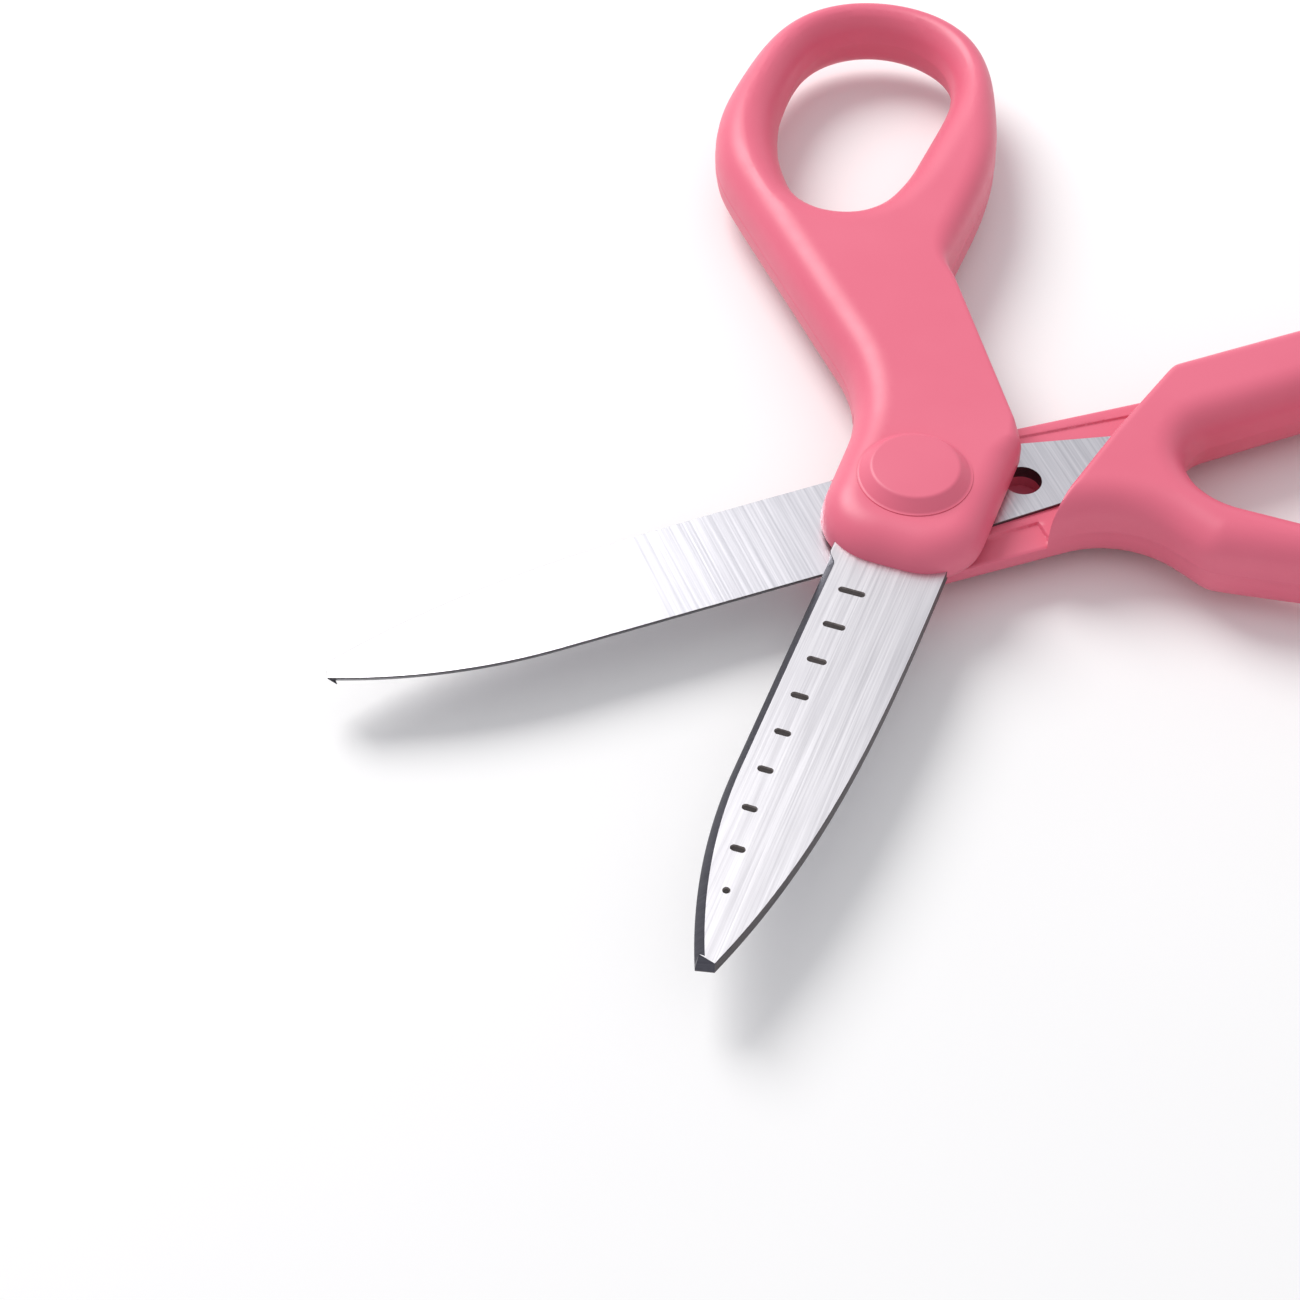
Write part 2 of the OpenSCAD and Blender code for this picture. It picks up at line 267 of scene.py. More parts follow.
def fill_points(outline, hole, hole_reach, extra=()):
    """Points that a face needs inside its outline: rings beside its edges, and a grid elsewhere."""
    rings = [outline[:, :2] - outward(outline) * (outline[:, 2:] * s) for s in ring_shares()]
    wanted = [outline[:, 2] * s for s in ring_shares()]
    made = []
    for ring, depth in zip(rings, wanted):
        d, _ = nearest(ring, outline)
        made.append(ring[(d > 0.9 * depth) & inside(ring, outline)])
    for s in ring_shares():
        ring = hole[:, :2] + outward(hole) * hole_reach * s
        made.append(ring[nearest(ring, hole)[0] > 0.9 * hole_reach * s])
    low, high = outline[:, :2].min(0), outline[:, :2].max(0)
    grid = np.array([[x + 0.5 * (k % 2), y] for k, y in enumerate(np.arange(low[1], high[1], 1.0))
                     for x in np.arange(low[0], high[0], 1.0)])
    edge_d, edge_r = nearest(grid, outline)
    made.append(grid[(edge_d > edge_r) & (nearest(grid, hole)[0] > hole_reach)])
    points = np.vstack([*made, *extra])
    room = nearest(points, outline)[0] > EDGE_ROOM
    clear = nearest(points, hole)[0] > EDGE_ROOM
    return points[room & clear & inside(points, outline) & ~inside(points, hole)]


def triangulate(bounds, points, holes=()):
    """Triangles between closed boundary rings, less their holes, through the points."""
    rings = [*bounds, *holes]
    every = np.vstack([*(r[:, :2] for r in rings), points])
    edges, start = [], 0
    for ring in rings:
        count = len(ring)
        edges += [(start + i, start + (i + 1) % count) for i in range(count)]
        start += count
    made = delaunay_2d_cdt([Vector(p) for p in every], edges, [], 0, 1e-7)
    where = every[[same[0] for same in made[3]]]
    faces = np.array([f[:] for f in made[2] if len(f) == 3])
    middle = where[faces].mean(1)
    across, up = where[faces[:, 1]] - where[faces[:, 0]], where[faces[:, 2]] - where[faces[:, 0]]
    solid = np.abs(across[:, 0] * up[:, 1] - across[:, 1] * up[:, 0]) > 1e-8
    keep = np.zeros(len(faces), bool)
    for ring in bounds:
        keep |= inside(middle, ring)
    for ring in holes:
        keep &= ~inside(middle, ring)
    return where, faces[keep & solid]


def wall(levels, closed):
    """Quads between rows of points, each row as long as the one before."""
    count = len(levels[0])
    points = np.vstack(levels)
    last = count if closed else count - 1
    faces = [(r * count + i, r * count + (i + 1) % count, (r + 1) * count + (i + 1) % count,
              (r + 1) * count + i) for r in range(len(levels) - 1) for i in range(last)]
    return points, faces


def lifted(points, z):
    return np.column_stack([points[:, :2], np.broadcast_to(z, len(points))])


# %% [markdown]
# ## Where a handle steps up
# A handle is thin at its neck, where the other blade passes over it, and its full thickness beyond
# a step. The step's line cuts the outline in two. The crossing points are added to the outline, so
# that the neck's face, the thick part's face, the step's wall and the outer wall all meet there.

# %% Splitting an outline at its step


def crossing(ring, a, b):
    """Where the line from a to b crosses a ring: the side's index, and the point [x, y, radius]."""
    for i in range(len(ring)):
        p, q = ring[i], ring[(i + 1) % len(ring)]
        side, along = q[:2] - p[:2], b - a
        cross = side[0] * along[1] - side[1] * along[0]
        if abs(cross) < 1e-9:
            continue
        t = ((a[0] - p[0]) * along[1] - (a[1] - p[1]) * along[0]) / cross
        s = ((a[0] - p[0]) * side[1] - (a[1] - p[1]) * side[0]) / cross
        if 0 <= t < 1 and 0 <= s <= 1:
            return i, p * (1 - t) + q * t
    return None


def split_at_step(outline, step):
    """The outline as its thick run and its neck run, both ends included, and the step between them."""
    hits = []
    for k in range(len(step) - 1):
        found = crossing(outline, step[k], step[k + 1])
        if found:
            hits.append((k, *found))
    (k0, i0, start), (k1, i1, end) = hits[0], hits[-1]
    count = len(outline)

    def run(i, first, j, last):
        """Outline points after side i up to side j, between two crossing points."""
        middle = [outline[n % count] for n in range(i + 1, i + 1 + (j - i) % count)]
        clear = [p for p in middle
                 if min(math.dist(p[:2], first[:2]), math.dist(p[:2], last[:2])) > STEP_ROOM]
        return np.array([first, *clear, last])

    between = [p for p in step[k0 + 1:k1 + 1]
               if min(math.dist(p, start[:2]), math.dist(p, end[:2])) > STEP_ROOM]
    line = np.array([start[:2], *between, end[:2]])
    return run(i1, end, i0, start), run(i0, start, i1, end), line


print("ready to split an outline where its handle steps up")

# %% [markdown]
# ## The handle itself
# The outer side is one height field over the whole outline. The inner side is another beyond the
# step, with the step's own edge rounded off, and a low one on the neck. The neck isn't plain: rails
# stand on both sides of the steel tang, and a groove runs beside it. `finger_neck` and `thumb_neck`
# give that relief.

# %% Building a handle
STEP_ROUND = 0.9
NECK_EDGE = 1.0


def softstep(x, at, width):
    """0 below a value, 1 above it, with a smooth ramp of that width between."""
    t = np.clip((x - at) / width + 0.5, 0, 1)
    return t * t * (3 - 2 * t)


def neck_heights(points, outline, level):
    """The neck's inner face: its rails, rounded at the outline's edge."""
    edge_d, edge_r = nearest(points, outline)
    base = level(points)
    room = HANDLE_H - edge_r - base
    reach = np.clip(room - 0.15, 0.1, NECK_EDGE)
    return base + roll(edge_d, reach, reach)


def handle_mesh(name, outline_corners, hole_corners, hole_reach, step_corners, level, relief_lines,
                soften):
    """A handle as one closed mesh. Its loop's inner wall rolls over within hole_reach."""
    outline = outline_ring(outline_corners, soften=soften)
    hole = outline_ring(hole_corners, soften=soften)
    thick_run, neck_run, step = split_at_step(outline, rounded_line(step_corners))
    whole = np.vstack([thick_run[:-1], neck_run[:-1]])

    def outer_z(p):
        return HANDLE_H - face_drop(p, outline, hole, hole_reach)

    def inner_z(p):
        drop = face_drop(p, outline, hole, hole_reach)
        step_d, _ = nearest(p, step, closed=False)
        return np.sqrt(drop ** 2 + roll(step_d, STEP_ROUND, STEP_ROUND) ** 2) - HANDLE_H

    def neck_z(p):
        return neck_heights(p, outline, level)

    patches = []
    points, faces = triangulate([whole], fill_points(outline, hole, hole_reach), [hole])
    patches.append((lifted(points, outer_z(points)), faces))

    thick_ring = np.vstack([thick_run[:-1, :2], step[:-1]])
    side = unit(step[1] - step[0])
    step_rings = [step[1:-1] + offset for s in (0.1, 0.25, 0.45, 0.7, 1, 1.3)
                  for offset in (STEP_ROUND * s * np.array([side[1], -side[0]]),
                                 STEP_ROUND * s * np.array([-side[1], side[0]]))]
    fill = fill_points(outline, hole, hole_reach, step_rings)
    fill = fill[inside(fill, thick_ring) & (nearest(fill, step, closed=False)[0] > 0.06)]
    points, faces = triangulate([thick_ring], fill, [hole])
    patches.append((lifted(points, inner_z(points)), faces))

    neck_ring = np.vstack([neck_run[:-1, :2], step[::-1][:-1]])
    fill = fill_points(outline, hole, hole_reach, relief_lines)
    fill = fill[inside(fill, neck_ring) & (nearest(fill, step, closed=False)[0] > 0.1)]
    points, faces = triangulate([neck_ring], fill)
    patches.append((lifted(points, neck_z(points)), faces))

    skin = outward(thick_run)
    from_start = np.arange(len(thick_run))
    taper = np.clip(np.minimum(from_start, from_start[::-1]) / PARTING_TAPER, 0, 1)
    proud = thick_run[:, :2] + skin * (PARTING * taper)[:, None]
    patches.append(wall([lifted(thick_run, outer_z(thick_run)), lifted(thick_run, neck_z(thick_run)),
                         lifted(thick_run, PARTING_HALF), lifted(proud, 0),
                         lifted(thick_run, -PARTING_HALF),
                         lifted(thick_run, inner_z(thick_run))], closed=False))
    patches.append(wall([lifted(neck_run, outer_z(neck_run)), lifted(neck_run, neck_z(neck_run))],
                        closed=False))
    patches.append(wall([lifted(step, neck_z(step)), lifted(step, PARTING_HALF), lifted(step, 0),
                         lifted(step, -PARTING_HALF), lifted(step, inner_z(step))], closed=False))
    ridge = hole[:, :2] - outward(hole) * PARTING
    patches.append(wall([lifted(hole, outer_z(hole)), lifted(ridge, 0), lifted(hole, inner_z(hole))],
                        closed=True))
    return welded_mesh(name, patches)


# %% Relief beside the tangs
RAIL_LEVEL, GROOVE_LEVEL, LEDGE_LEVEL = 0.35, 0.62, 1.0


def finger_neck(points):
    """Rails beside the lower tang: a groove next to the steel, and a lower ledge on the blade's edge side."""
    x, y = points[:, 0], points[:, 1]
    groove = softstep(x, -6.6 - 0.1 * (y + 20), 0.25)
    ledge = softstep(x, 7.9, 0.25) * softstep(y, -14.2, 0.3)
    level = RAIL_LEVEL + (GROOVE_LEVEL - RAIL_LEVEL) * groove
    return level + (LEDGE_LEVEL - GROOVE_LEVEL) * ledge


def thumb_neck(points):
    """The same rails beside the upper tang, without the ledge."""
    groove = softstep(points[:, 0], -8.3, 0.25) * (1 - softstep(points[:, 0], 8.3, 0.25))
    return RAIL_LEVEL + (GROOVE_LEVEL - RAIL_LEVEL) * groove


def relief_line(start, end, width=0.25):
    """Rows of points on both sides of a small step in the relief."""
    start, end = np.array(start, float), np.array(end, float)
    count = int(np.linalg.norm(end - start) / 0.4)
    across = unit(end - start)[::-1] * [1, -1]
    line = start + (end - start) * np.linspace(0, 1, count)[:, None]
    return [line + across * width * s for s in (-0.6, -0.3, 0, 0.3, 0.6)]


def from_cutter(piece, cutter, operation="DIFFERENCE"):
    """The piece's mesh less the cutter's, or joined with it, as a plain mesh. The cutter goes."""
    tool = piece.modifiers.new("cut", "BOOLEAN")
    tool.object, tool.operation, tool.solver = cutter, operation, "MANIFOLD"
    bpy.context.view_layer.update()
    ready = piece.evaluated_get(bpy.context.evaluated_depsgraph_get())
    result = bpy.data.meshes.new_from_object(ready)
    piece.modifiers.remove(tool)
    piece.data = result
    bpy.data.objects.remove(cutter)
    return piece


def prism(name, polygon, foot, top):
    """A straight prism over an anticlockwise polygon."""
    low, high = lifted(np.array(polygon, float), foot), lifted(np.array(polygon, float), top)
    count = len(low)
    sides = wall([low, high], closed=True)
    caps = (np.vstack([low, high]), [tuple(range(count)), tuple(range(count, 2 * count))])
    return new_object(name, welded_mesh(name, [sides, caps]))


def disc(x, y, radius, count=64):
    turn = np.linspace(0, 2 * math.pi, count, endpoint=False)
    return np.column_stack([x + radius * np.cos(turn), y + radius * np.sin(turn)])


# %% Tangs, slots and wells
HEEL_Y = 8
SPINE, EDGE = 8, 6.8            # the pivot's axis to a blade's spine, and to its cutting edge
THUMB_TANG = [[-SPINE, HEEL_Y], [-7.7, -8], [-3.6, -19.5], [8.4, -38.5], [13.5, -36], [9, -18],
              [6.8, -8], [EDGE, HEEL_Y]]
FINGER_TANG = [[-SPINE, HEEL_Y], [-7.6, -8], [-5.5, -17.9], [-1.8, -32.5], [5.5, -29.5], [6.3, -17],
               [6.6, -8], [EDGE, HEEL_Y]]
TANG_HOLE = (0.8, -15.3)
TANG_HOLE_R, WELL_R, RIVET_R, SLOT_FRONT = 2.5, 5.5, 2.25, 16


def cut_handle(piece, tang, pocket_top):
    """Cuts the tang's slot, the well round the rivet's head and the blind pocket over the tang's hole."""
    slot = [*tang, [EDGE, SLOT_FRONT], [-SPINE, SLOT_FRONT]]
    from_cutter(piece, prism("slot", slot, BLADE_IN, BLADE_OUT))
    from_cutter(piece, prism("well", disc(0, 0, WELL_R), BLADE_IN + 0.1, HANDLE_H + 1))
    return from_cutter(piece, prism("pocket", disc(*TANG_HOLE, TANG_HOLE_R), BLADE_OUT - 0.1, pocket_top))


def set_in_place(piece, half, sharp_over=38):
    piece.data.transform(HALVES[half])
    piece.data.shade_smooth()
    piece.data.set_sharp_from_angle(angle=math.radians(sharp_over))
    piece.data.update()
    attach(piece, half)
    print(f"{piece.name}: {len(piece.data.polygons)} faces on {half}")
    return piece


# Each step's line: x, y, corner radius
THUMB_STEP = [[16, -12.6, 0], [11.3, -12.6, 1.2], [8.9, -34, 8], [5, -46, 0]]
FINGER_STEP = [[15, -10, 0], [8.6, -17.6, 14], [1.7, -27.2, 30], [-8, -42, 0]]
THUMB_REACH, FINGER_REACH = 5.1, 4.6       # how far in a loop's inner wall rolls over
POCKET_TOP = 3.6                           # the blind pocket over a tang's hole
thumb_relief = relief_line([-8.3, 12], [-8.3, -14]) + relief_line([8.3, 12], [8.3, -20])
finger_relief = (relief_line([-9.4, 8], [-4.8, -38]) + relief_line([7.9, 12], [7.9, -14])
                 + relief_line([7.9, -14.2], [12, -14.2]))
thumb_handle = new_object("thumb_handle_moulding", handle_mesh(
    "thumb_handle_moulding", THUMB_OUTLINE, THUMB_HOLE, THUMB_REACH, THUMB_STEP, thumb_neck,
    thumb_relief, soften=16))
finger_handle = new_object("finger_handle_moulding", handle_mesh(
    "finger_handle_moulding", FINGER_OUTLINE, FINGER_HOLE, FINGER_REACH, FINGER_STEP, finger_neck,
    finger_relief, soften=12))
cut_handle(thumb_handle, THUMB_TANG, POCKET_TOP)
cut_handle(finger_handle, FINGER_TANG, POCKET_TOP)
for piece, half, node in [(thumb_handle, "upper_half", "front_handle"),
                          (finger_handle, "lower_half", "rear_handle")]:
    set_in_place(piece, half)
    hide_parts(node)

# %% [markdown]
# ## Pivot caps
# Each handle carries a low round boss over the rivet. It is a turned shape, so a profile is spun
# about the pivot's axis: a small hollow fillet at the foot, a sloping side, and a rounded shoulder
# up to the flat top.

# %% Spinning the caps


def arc(centre_x, centre_z, radius, first, last, steps=6):
    """Profile points [x, z] on an arc, between two angles in degrees."""
    turn = np.radians(np.linspace(first, last, steps))
    return np.column_stack([centre_x + radius * np.cos(turn), centre_z + radius * np.sin(turn)])


def spun(name, profile, segments=128):
    """A closed solid from a profile [x, z] whose two ends are on the axis."""
    turn = np.linspace(0, 2 * math.pi, segments, endpoint=False)
    rows = [np.column_stack([x * np.cos(turn), x * np.sin(turn), np.full(segments, z)]) for x, z in profile]
    points, faces = wall(rows, closed=True)
    return welded_mesh(name, [(points, faces)])


def cap_profile():
    plug_r, plug_foot, rim = WELL_R - 0.1, HANDLE_H - 0.9, 0.12
    shoulder_r, fillet, slope = 0.75, 0.55, 42
    shoulder_x, shoulder_z = 5.35, CAP_TOP - shoulder_r
    shoulder = arc(shoulder_x, shoulder_z, shoulder_r, 90 - slope, 90)
    foot = arc(CAP_R + 0.02, HANDLE_H + rim + fillet, fillet, 268, 270 - slope)
    foot[:, 0] -= 0.05
    return np.vstack([[[0.0005, plug_foot], [plug_r, plug_foot], [plug_r, HANDLE_H], [CAP_R, HANDLE_H],
                       [CAP_R, HANDLE_H + rim]], foot[1:], shoulder, [[0.0005, CAP_TOP]]])


for name, half, node in [("upper_pivot_cap", "upper_half", "front_cap"),
                         ("lower_pivot_cap", "lower_half", "rear_cap")]:
    cap = new_object(name, spun(name, cap_profile()))
    set_in_place(cap, half, sharp_over=30)
    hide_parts(node)

# %% [markdown]
# ## Blades
# A blade is a flat blank whose cutting edge is ground to a bevel on the outer face. All its edges
# have a hair-fine chamfer, which is what catches the light on real steel. The blank's outline is
# walked round once, and each point carries a share that says how much of the bevel it gets. The
# same cross-section, from the inner face to the outer, is then laid at each point.

# %% Blade outline and cross-section
CURVE_FROM, TIP_EDGE_X, TIP_SPINE, SPINE_POWER = 50, 1.2, (-1, 78), 3.3
BEVEL_W, EDGE_T, CHAMFER = 1.1, 0.2, 0.06
BEVEL_FROM, BEVEL_FULL = 13, 15
ROOT_CORNER = 1.5               # radius of the corners of a blade's root and tang
BORE_PLAY = 0.05                # the upper blade turns on the rivet, and the lower is fast to it
REACH = 78.5
RISE, DROP = REACH - CURVE_FROM, EDGE - TIP_EDGE_X
CURVE_R = (RISE ** 2 + DROP ** 2) / (2 * DROP)


def edge_x(y):
    """The cutting edge: straight, then one long arc to the tip."""
    past = np.maximum(np.asarray(y, float) - CURVE_FROM, 0)
    return EDGE - CURVE_R + np.sqrt(CURVE_R ** 2 - past ** 2)


def spine_x(y):
    share = (np.asarray(y, float) - HEEL_Y) / (TIP_SPINE[1] - HEEL_Y)
    return -SPINE + (SPINE + TIP_SPINE[0]) * share ** SPINE_POWER


def blade_ring(tang):
    """The blank's outline, anticlockwise, as points [x, y, share of the bevel]."""
    corners = [[*p, 0, 0] for p in tang]
    for i in range(1, len(corners) - 1):
        corners[i][2] = ROOT_CORNER
    rounded = [corner_arc(corners[i - 1], corners[i], corners[i + 1], steps=3)
               for i in range(1, len(corners) - 1)]
    root = np.vstack([[corners[0][:3]], *rounded, [corners[-1][:3]]])
    root[:, 2] = 0
    up = np.r_[np.linspace(HEEL_Y, BEVEL_FULL, 15)[1:], np.linspace(BEVEL_FULL, REACH, 90)[1:]]
    down = np.linspace(TIP_SPINE[1], HEEL_Y, 90)[:-1]
    ground = softstep(up, (BEVEL_FROM + BEVEL_FULL) / 2, BEVEL_FULL - BEVEL_FROM)
    edge = np.column_stack([edge_x(up), up, ground])
    spine = np.column_stack([spine_x(down), down, 0 * down])
    return np.vstack([root, edge, spine])


def blade_mesh(name, tang):
    ring = blade_ring(tang)
    normal, share = outward(ring), ring[:, 2:]
    across = {0: [CHAMFER, 0, 0, 0, CHAMFER], 1: [CHAMFER / 2, 0, 0, BEVEL_W - CHAMFER, BEVEL_W + CHAMFER]}
    top = BLADE_OUT
    slope = (top - BLADE_IN - EDGE_T) * CHAMFER / BEVEL_W
    height = {0: [BLADE_IN, BLADE_IN + CHAMFER, BLADE_IN + EDGE_T, top - CHAMFER, top],
              1: [BLADE_IN, BLADE_IN + CHAMFER / 2, BLADE_IN + EDGE_T, top - slope, top]}
    rows = []
    for k in range(5):
        inset = across[0][k] * (1 - share) + across[1][k] * share
        z = height[0][k] * (1 - share) + height[1][k] * share
        rows.append(np.column_stack([ring[:, :2] - normal * inset, z]))
    patches = [wall(rows, closed=True)]
    for row in (rows[0], rows[-1]):
        points, faces = triangulate([row], np.empty((0, 2)))
        patches.append((lifted(points, row[0, 2]), faces))
    return welded_mesh(name, patches)


front_blade = new_object("upper_blade_steel", blade_mesh("upper_blade_steel", THUMB_TANG))
rear_blade = new_object("lower_blade_steel", blade_mesh("lower_blade_steel", FINGER_TANG))
for blade, bore in [(front_blade, RIVET_R + BORE_PLAY), (rear_blade, RIVET_R)]:
    from_cutter(blade, prism("bore", disc(0, 0, bore), BLADE_IN - 1, BLADE_OUT + 1))
    from_cutter(blade, prism("tang_hole", disc(*TANG_HOLE, TANG_HOLE_R), BLADE_IN - 1, BLADE_OUT + 1))

# %% [markdown]
# ## Node trees written as expressions
# Both the marks' geometry tree and the finishes need a lot of small sums. `Wire` wraps one socket,
# and Python's own operators add the Math nodes, so that a formula in a tree reads like a formula.
# `Graph.add` makes every other node: its settings are set first, then its sockets.

# %% Wires and graphs


class Wire:
    """One output socket. Sums with numbers or other wires add Math nodes."""

    def __init__(self, graph, socket):
        self.graph, self.socket = graph, socket

    def maths(self, operation, first, second=0.0):
        return self.graph.add("ShaderNodeMath", {"operation": operation}, {0: first, 1: second})

    def __add__(self, other):
        return self.maths("ADD", self, other)

    def __radd__(self, other):
        return self.maths("ADD", other, self)

    def __sub__(self, other):
        return self.maths("SUBTRACT", self, other)

    def __rsub__(self, other):
        return self.maths("SUBTRACT", other, self)

    def __mul__(self, other):
        return self.maths("MULTIPLY", self, other)

    def __rmul__(self, other):
        return self.maths("MULTIPLY", other, self)

    def __truediv__(self, other):
        return self.maths("DIVIDE", self, other)

    def __pow__(self, other):
        return self.maths("POWER", self, other)

    def __lt__(self, other):
        return self.maths("LESS_THAN", self, other)

    def at_least(self, other):
        return self.maths("MAXIMUM", self, other)

    def root(self):
        return self.maths("SQRT", self)

    def ramp(self, low, high):
        """0 below low, 1 above high, and smooth between."""
        return self.graph.add("ShaderNodeMapRange", {"interpolation_type": "SMOOTHSTEP"},
                              {"Value": self, "From Min": low, "From Max": high})


class Graph:
    """Adds nodes to one tree."""

    def __init__(self, tree):
        self.tree = tree

    def add(self, kind, settings=None, sockets=None, out=0):
        node = self.tree.nodes.new(kind)
        for name, value in (settings or {}).items():
            setattr(node, name, value)
        for name, value in (sockets or {}).items():
            if isinstance(value, Wire):
                self.tree.links.new(value.socket, node.inputs[name])
            else:
                node.inputs[name].default_value = value
        return Wire(self, node.outputs[out]) if node.outputs else None

    def also(self, wire, out):
        """Another output of the node that a wire comes from."""
        return Wire(self, wire.socket.node.outputs[out])


print("graphs ready")

# %% [markdown]
# ## Length marks
# A row of short marks is pressed into the upper blade, one every six millimetres, each a little
# shorter than the one before, and the last is a dot. They repeat by a rule, so Geometry Nodes make
# them: a line of points follows the cutting edge, a tapered cup stands on each, and the far half of
# every cup is pulled out to the mark's length. The same tree runs twice: once for the cutters that
# sink the marks into the steel, and once, thinner, for a dark strip of painted shade on their floors.

# %% The marks' tree


def marks_tree():
    tree = bpy.data.node_groups.new("length_marks", "GeometryNodeTree")
    tree.interface.new_socket("Geometry", in_out="OUTPUT", socket_type="NodeSocketGeometry")
    for name in ("Pitch", "First", "Width", "Floor Width", "Longest", "Shortest", "Shrink", "Foot", "Top"):
        tree.interface.new_socket(name, in_out="INPUT", socket_type="NodeSocketFloat")
    tree.interface.new_socket("Count", in_out="INPUT", socket_type="NodeSocketInt")
    tree.interface.new_socket("Material", in_out="INPUT", socket_type="NodeSocketMaterial")
    g = Graph(tree)
    entry = g.add("NodeGroupInput")

    def given(name):
        return g.also(entry, name)

    index = g.add("GeometryNodeInputIndex")
    y = given("First") + index * given("Pitch")
    past = (y - CURVE_FROM).at_least(0)
    x = EDGE - CURVE_R - MARK_INSET + (CURVE_R ** 2 - past * past).root() - given("Width") / 2
    place = g.add("ShaderNodeCombineXYZ", sockets={0: x, 1: y, 2: (given("Foot") + given("Top")) / 2})
    line = g.add("GeometryNodeMeshLine", sockets={"Count": given("Count")})
    line = g.add("GeometryNodeSetPosition", sockets={"Geometry": line, "Position": place})
    cup = g.add("GeometryNodeMeshCone", sockets={
        "Vertices": 24, "Radius Top": given("Width") / 2, "Radius Bottom": given("Floor Width") / 2,
        "Depth": given("Top") - given("Foot")})
    centred = g.add("ShaderNodeCombineXYZ", sockets={2: (given("Foot") - given("Top")) / 2})
    cup = g.add("GeometryNodeTransform", sockets={"Geometry": cup, "Translation": centred})
    here = g.add("ShaderNodeSeparateXYZ", sockets={0: g.add("GeometryNodeInputPosition")})
    far_half = here < -0.0001
    cup = g.add("GeometryNodeStoreNamedAttribute", {"data_type": "FLOAT", "domain": "POINT"},
                {"Geometry": cup, "Name": "far_half", "Value": far_half})
    cups = g.add("GeometryNodeInstanceOnPoints", sockets={"Points": line, "Instance": cup})
    length = given("Shortest") + given("Longest") * given("Shrink") ** index
    is_mark = index < given("Count") - 1.5
    run = (length - given("Width")) * is_mark
    cups = g.add("GeometryNodeStoreNamedAttribute", {"data_type": "FLOAT", "domain": "INSTANCE"},
                 {"Geometry": cups, "Name": "run", "Value": run})
    solid = g.add("GeometryNodeRealizeInstances", sockets={"Geometry": cups})
    far = g.add("GeometryNodeInputNamedAttribute", {"data_type": "FLOAT"}, {"Name": "far_half"})
    pull = g.add("GeometryNodeInputNamedAttribute", {"data_type": "FLOAT"}, {"Name": "run"})
    offset = g.add("ShaderNodeCombineXYZ", sockets={0: 0 - far * pull})
    solid = g.add("GeometryNodeSetPosition", sockets={"Geometry": solid, "Offset": offset})
    solid = g.add("GeometryNodeSetMaterial", sockets={"Geometry": solid, "Material": given("Material")})
    g.add("NodeGroupOutput", sockets={"Geometry": solid})
    return tree


def marks_mesh(name, **values):
    """The tree's result for those inputs, as a plain mesh in mm."""
    holder = new_object(name, bpy.data.meshes.new(name))
    modifier = holder.modifiers.new("marks", "NODES")
    modifier.node_group = MARKS
    for item in MARKS.interface.items_tree:
        if item.in_out == "INPUT":
            modifier[item.identifier] = values[item.name.replace(" ", "_").lower()]
    bpy.context.view_layer.update()
    ready = holder.evaluated_get(bpy.context.evaluated_depsgraph_get())
    mesh = bpy.data.meshes.new_from_object(ready)
    holder.modifiers.remove(modifier)
    holder.data = mesh
    print(f"{name}: {len(mesh.polygons)} faces")
    return holder


MARK_INSET, MARK_DEPTH = 2.9, 0.2
SHADE_STRIP_SHIFT = 0.22         # how much further from the edge the thinner row starts, as the marks do
MARKS = marks_tree()
MARK_ROW = {"pitch": 6.13, "first": 18.8, "longest": 1.7, "shortest": 1.9, "shrink": 0.65, "count": 9}

# %% [markdown]
# ## Finishes
# Every pattern reads Object coordinates. A blade's coordinates are turned into its own direction
# first, so that one finish can run along it and another across. The steel's brushing is noise that
# is stretched about a hundred times along the grain. A blade's bevel, its sides and its marks are
# coloured much darker than its faces, and that darkness is painted shade. Moulded plastic is nearly
# one colour, but a mould leaves a fine texture, a slight unevenness where the melt flowed, and a soft gloss.

# %% Helpers for finishes


def new_material(name):
    material = bpy.data.materials.new(name)
    material.use_nodes = True
    graph = Graph(material.node_tree)
    shader = material.node_tree.nodes["Principled BSDF"]
    place = graph.add("ShaderNodeTexCoord", out="Object")
    return material, graph, shader, place


def stretched(graph, place, turn, size):
    """Coordinates turned by an angle about +Z, then measured in steps of size (x, y, z) in metres."""
    return graph.add("ShaderNodeMapping", {"vector_type": "TEXTURE"},
                     {"Vector": place, "Rotation": (0, 0, turn), "Scale": size})


def noise(graph, place, scale=1.0, detail=2.0, roughness=0.5):
    return graph.add("ShaderNodeTexNoise", {"noise_dimensions": "3D"},
                     {"Vector": place, "Scale": scale, "Detail": detail, "Roughness": roughness})


def tinted(graph, factor, first, second):
    """A colour between two, by a factor."""
    return graph.add("ShaderNodeMix", {"data_type": "RGBA"},
                     {0: factor, 6: (*first, 1), 7: (*second, 1)}, out=2)


def finish(graph, shader, colour, roughness, bump=None, strength=0.0, distance=0.0, metallic=0.0):
    """Links what varies and sets what doesn't. A bump's distance is in metres."""
    for name, value in (("Base Color", colour), ("Roughness", roughness)):
        if isinstance(value, Wire):
            graph.tree.links.new(value.socket, shader.inputs[name])
        else:
            shader.inputs[name].default_value = value
    if bump is not None:
        normal = graph.add("ShaderNodeBump", sockets={
            "Height": bump, "Strength": strength, "Distance": distance})
        graph.tree.links.new(normal.socket, shader.inputs["Normal"])
    shader.inputs["Metallic"].default_value = metallic


# %% Plastic
ROSE, ROSE_DEEP = (0.74, 0.145, 0.225), (0.69, 0.115, 0.19)


